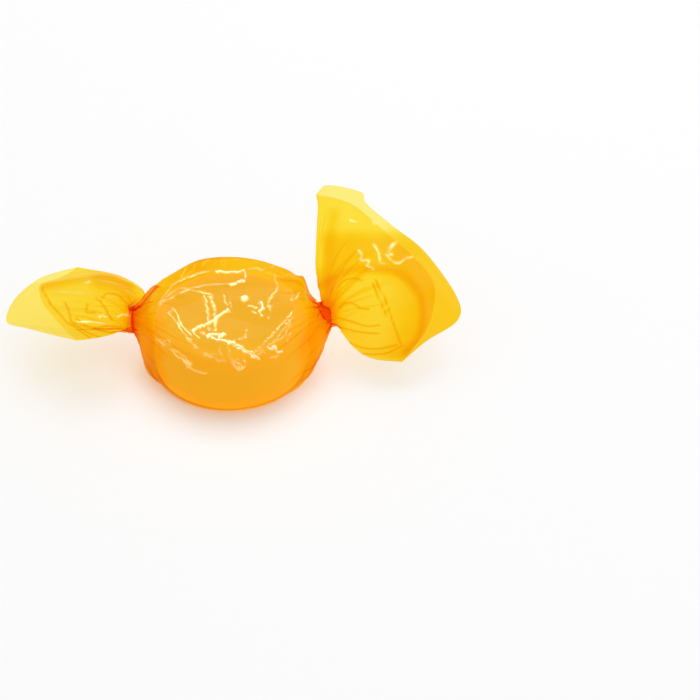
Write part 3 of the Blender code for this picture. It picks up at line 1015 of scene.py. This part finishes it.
def film_finish(settings):
    """Clear tinted film: each layer colours what is behind it, and it shines; its creases carry a painted
    highlight, yellow to cream and glowing, in place of lit glints.
    """
    finish = Finish("clear_yellow_film")
    layers = finish.add("ShaderNodeAttribute", {"attribute_name": "layers"}, {}, "Fac")
    painted_glint = finish.add("ShaderNodeAttribute", {"attribute_name": "painted_glint"}, {}, "Fac")
    place = finish.add("ShaderNodeTexCoord", {}, {}, "Object")
    ripples = {"Vector": place, "Scale": FILM_RIPPLES, "Detail": 2.0}
    wander = finish.add("ShaderNodeTexNoise", {}, ripples, "Fac")
    bump = {"Height": wander, "Strength": 0.4, "Distance": FILM_RIPPLE_DEPTH}
    bump = finish.add("ShaderNodeBump", {}, bump, "Normal")
    facing = finish.add("ShaderNodeLayerWeight", {}, {"Blend": 0.5, "Normal": bump}, "Facing")
    white, black = (1.0, 1.0, 1.0, 1.0), (0.0, 0.0, 0.0, 1.0)
    yellow, cream = FINE_CREASE_PAINTED_HIGHLIGHT, BOLD_CREASE_PAINTED_HIGHLIGHT
    # How far each crease's painted highlight runs from white through yellow to cream
    strong = finish.clamped(painted_glint * 2.0 - 1.0)
    fine = finish.clamped(painted_glint * 4.0)
    # The film's reflection, and on the creases a painted glint: coloured in and glowing, not lit
    shine = finish.add(
        "ShaderNodeBsdfPrincipled",
        {},
        {
            "Base Color": finish.mix(strong, finish.mix(fine, white, yellow), cream),
            "Metallic": 1.0 - painted_glint,
            "Roughness": painted_glint * 0.3 + settings.roughness,
            "Emission Color": finish.mix(strong, finish.mix(fine, black, yellow), cream),
            "Emission Strength": CREASE_PAINTED_GLOW,
            "Normal": bump,
        },
        "BSDF",
    )
    tinted = finish.layered(settings.tint, 1)
    for fewer, more in ((1, 2), (2, 4), (4, 8)):
        share = finish.clamped((layers - fewer) * (1.0 / (more - fewer)))
        tinted = finish.blend(share, tinted, finish.layered(settings.tint, more))
    lamps = finish.add("ShaderNodeLightPath", {}, {}, "Is Shadow Ray")
    lit = finish.blend(lamps * LAMPS_THROUGH_FILM, tinted, finish.layered(LIT_THROUGH_FILM, 1))
    # The shine's share: real reflection at the edges and face on, and the painted glint on the creases
    mirror_and_glint_share = facing**5.0 * EDGE_MIRROR + FACE_MIRROR + painted_glint * CREASE_PAINTED_GLINT_SHARE
    return finish.surface(finish.blend(mirror_and_glint_share, lit, shine))


def sugar_finish(settings):
    """Amber boiled sugar: cloudy, with faint streaks, and a painted glow from within, stronger at its side, in
    place of light passing through it.
    """
    finish = Finish("amber_sugar")
    place = finish.add("ShaderNodeTexCoord", {}, {}, "Object")
    streaks = {"Vector": place, "Scale": SUGAR_STREAKS, "Detail": 3.0, "Distortion": 1.5}
    streaks = finish.add("ShaderNodeTexNoise", {}, streaks, "Fac")
    # Where the painted glow turns from the faces' colour to the side's
    side = finish.add("ShaderNodeAttribute", {"attribute_name": "side"}, {}, "Fac")
    red, green, blue = settings.colour
    colour = finish.mix(streaks, (red, green, blue, 1.0), (red, green * 1.12, blue * 1.5, 1.0))
    sugar = finish.add(
        "ShaderNodeBsdfPrincipled",
        {},
        {
            "Base Color": colour,
            "Roughness": 0.35,
            "Specular IOR Level": 0.05,
            "Subsurface Weight": 1.0,
            "Subsurface Radius": (1.0, 0.45, 0.1),
            "Subsurface Scale": SUGAR_DEPTH,
            # Painted glow: light given off by the sugar, not by a lamp
            "Emission Color": finish.mix(side, (*settings.face_painted_glow, 1.0), (*settings.side_painted_glow, 1.0)),
            "Emission Strength": 1.0,
        },
        "BSDF",
    )
    lamps = finish.add("ShaderNodeLightPath", {}, {}, "Is Shadow Ray")
    lit = finish.layered(LIT_THROUGH_SUGAR, 1)
    return finish.surface(finish.blend(lamps * LAMPS_THROUGH_SUGAR, sugar, lit))


def floor_finish():
    """A plain pale tabletop."""
    finish = Finish("pale_table")
    place = finish.add("ShaderNodeTexCoord", {}, {}, "Object")
    grain = finish.add("ShaderNodeTexNoise", {}, {"Vector": place, "Scale": 3.0, "Detail": 2.0}, "Fac")
    colour = finish.mix(grain, (0.94, 0.94, 0.945, 1.0), (0.96, 0.96, 0.96, 1.0))
    table = finish.add("ShaderNodeBsdfPrincipled", {}, {"Base Color": colour, "Roughness": 0.7}, "BSDF")
    return finish.surface(table)


def add_piece(name, points, faces, material, values=None):
    """A smooth-shaded piece that rides with the part. values has numbers for each point, by name."""
    mesh = bpy.data.meshes.new(name)
    mesh.from_pydata([tuple(point) for point in points], [], faces)
    for key, numbers in (values or {}).items():
        layer = mesh.attributes.new(key, "FLOAT", "POINT")
        layer.data.foreach_set("value", np.asarray(numbers, dtype=np.float32))
    mesh.materials.append(material)
    mesh.shade_smooth()
    piece = bpy.data.objects.new(name, mesh)
    bpy.context.scene.collection.objects.link(piece)
    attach(piece, "root")
    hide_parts(NODE)
    return piece


class OBJECT_OT_twist_film(bpy.types.Operator):
    """Wraps the candy in its twisted film"""

    bl_idname = "object.twist_film"
    bl_label = "Twisted film"

    def execute(self, context):
        settings = context.scene.twist_film
        # The third array is the creases' painted highlight, glints coloured in rather than lit
        grid, layers, painted_glint = dressed_film(settings)
        material = film_finish(settings)
        last = len(grid) - 1
        for name, start, end in (
            ("flat_tail_film", 0, TAIL_STATIONS),
            ("candy_film", TAIL_STATIONS, last - TAIL_STATIONS),
            ("tall_tail_film", last - TAIL_STATIONS, last),
        ):
            part = slice(start, end + 1)
            values = {"layers": layers[part].ravel(), "painted_glint": painted_glint[part].ravel()}
            add_piece(name, grid[part].reshape(-1, 3), tube_faces(end - start + 1), material, values)
        for name, row, side in (
            ("flat_neck_twist", TAIL_STATIONS, -1),
            ("tall_neck_twist", last - TAIL_STATIONS, 1),
        ):
            rows = twist_rosette(grid[row], side)
            count = len(rows) * AROUND
            values = {"layers": np.full(count, ROSETTE_LAYERS), "painted_glint": np.zeros(count)}
            add_piece(name, rows.reshape(-1, 3), tube_faces(len(rows)), material, values)
        return {"FINISHED"}


class OBJECT_OT_sugar_disc(bpy.types.Operator):
    """Makes the candy inside the film"""

    bl_idname = "object.sugar_disc"
    bl_label = "Butterscotch disc"

    around = 128
    rounding_steps = 8
    face_steps = 10

    def execute(self, context):
        settings = context.scene.sugar_disc
        radius, height = settings.radius, settings.height
        low = (CANDY_HEIGHT - height) / 2.0
        under = [(r, low + z) for r, z in self.half_profile(settings, settings.foot_round)]
        over = [(r, low + height - z) for r, z in reversed(self.half_profile(settings, settings.edge_round))]
        profile = under + over
        points = [(0.0, 0.0, low + settings.dish)]
        for r, z in profile:
            for i in range(self.around):
                angle = 2.0 * math.pi * i / self.around
                wobble = 1.0 + 0.004 * math.sin(3.0 * angle + 0.5) + 0.003 * math.sin(7.0 * angle + z / MM)
                points.append((r * wobble * math.cos(angle), r * wobble * math.sin(angle), z))
        points.append((0.0, 0.0, low + height - settings.dish))
        faces = []
        last = len(points) - 1
        for i in range(self.around):
            j = (i + 1) % self.around
            faces.append((0, 1 + j, 1 + i))
            for row in range(len(profile) - 1):
                here = 1 + row * self.around
                faces.append((here + i, here + j, here + self.around + j, here + self.around + i))
            top = 1 + (len(profile) - 1) * self.around
            faces.append((top + i, top + j, last))
        # The disc leans about its front foot, and its side stays upright behind the film.
        hinge = Vector((0.0, -radius, low))
        tilt = Matrix.Rotation(settings.lean, 3, "X")
        upright = math.tan(settings.lean)
        leant = [hinge + tilt @ (Vector(point) - hinge) for point in points]
        # How far each point lies towards the side, where the painted glow is stronger
        side = [smoothstep((Vector(point).xy.length / radius - 0.76) / 0.24) for point in points]
        points = [point + Vector((0.0, (point.z - low) * upright, 0.0)) for point in leant]
        add_piece("sugar_disc", points, faces, sugar_finish(settings), {"side": side})
        return {"FINISHED"}

    def half_profile(self, settings, corner):
        """The radius and depth of points from a face's middle out to the side, over a rounded edge."""
        inner = settings.radius - corner
        half = []
        for k in range(1, self.face_steps):
            share = k / self.face_steps
            half.append((inner * share, settings.dish * (1.0 - share**2)))
        for k in range(self.rounding_steps + 1):
            turn = math.pi / 2.0 * k / self.rounding_steps
            half.append((inner + corner * math.sin(turn), corner * (1.0 - math.cos(turn))))
        return half


class SCENE_OT_pale_stage(bpy.types.Operator):
    """Sets the pale floor, the soft lights and the camera"""

    bl_idname = "scene.pale_stage"
    bl_label = "Pale stage"

    def execute(self, context):
        settings = context.scene.pale_stage
        half = settings.floor_size / 2.0
        mesh = bpy.data.meshes.new("floor")
        corners = [(-half, -half, 0.0), (half, -half, 0.0), (half, half, 0.0), (-half, half, 0.0)]
        mesh.from_pydata(corners, [], [(0, 1, 2, 3)])
        mesh.materials.append(floor_finish())
        floor = bpy.data.objects.new("floor", mesh)
        context.scene.collection.objects.link(floor)
        self.light("key_light", KEY_LIGHT_AT, KEY_LIGHT_SIZE, settings.key_power)
        self.light("front_light", FRONT_LIGHT_AT, FRONT_LIGHT_SIZE, settings.front_power)
        world = bpy.data.worlds.new("studio")
        world.use_nodes = True
        background = world.node_tree.nodes["Background"]
        background.inputs["Color"].default_value = (1.0, 1.0, 1.0, 1.0)
        background.inputs["Strength"].default_value = SURROUNDINGS
        context.scene.world = world
        lens = bpy.data.cameras.new("camera")
        lens.lens = settings.lens
        lens.sensor_width = 36.0
        lens.clip_start = 0.01
        camera = bpy.data.objects.new("camera", lens)
        camera.location = CAMERA_AT
        look = Vector(CAMERA_AIM) - Vector(CAMERA_AT)
        camera.rotation_euler = look.to_track_quat("-Z", "Y").to_euler()
        context.scene.collection.objects.link(camera)
        context.scene.camera = camera
        context.scene.view_settings.view_transform = "Standard"
        context.scene.cycles.transparent_max_bounces = 64
        context.scene.cycles.max_bounces = 12
        return {"FINISHED"}

    def light(self, name, at, size, power):
        """A square soft light that faces the part."""
        lamp = bpy.data.lights.new(name, "AREA")
        lamp.size = size
        lamp.energy = power
        held = bpy.data.objects.new(name, lamp)
        held.location = at
        held.rotation_euler = (-Vector(at)).to_track_quat("-Z", "Y").to_euler()
        bpy.context.scene.collection.objects.link(held)


class VIEW3D_PT_butterscotch(bpy.types.Panel):
    """The pieces and the stage, with their sizes and colours"""

    bl_idname = "VIEW3D_PT_butterscotch"
    bl_label = "Butterscotch"
    bl_space_type = "VIEW_3D"
    bl_region_type = "UI"
    bl_category = "Butterscotch"

    def draw(self, context):
        for name, operator in (
            ("sugar_disc", "object.sugar_disc"),
            ("twist_film", "object.twist_film"),
            ("pale_stage", "scene.pale_stage"),
        ):
            box = self.layout.box()
            settings = getattr(context.scene, name)
            for field in settings.bl_rna.properties:
                if field.identifier not in ("rna_type", "name"):
                    box.prop(settings, field.identifier)
            box.operator(operator)


CLASSES = (
    FilmSettings,
    SugarSettings,
    StageSettings,
    OBJECT_OT_sugar_disc,
    OBJECT_OT_twist_film,
    SCENE_OT_pale_stage,
    VIEW3D_PT_butterscotch,
)


def register():
    for kind in CLASSES:
        bpy.utils.register_class(kind)
    bpy.types.Scene.twist_film = PointerProperty(type=FilmSettings)
    bpy.types.Scene.sugar_disc = PointerProperty(type=SugarSettings)
    bpy.types.Scene.pale_stage = PointerProperty(type=StageSettings)


def unregister():
    del bpy.types.Scene.pale_stage
    del bpy.types.Scene.sugar_disc
    del bpy.types.Scene.twist_film
    for kind in reversed(CLASSES):
        bpy.utils.unregister_class(kind)


def main():
    register()
    bpy.ops.object.sugar_disc()
    bpy.ops.object.twist_film()
    bpy.ops.scene.pale_stage()


if __name__ == "__main__":
    main()
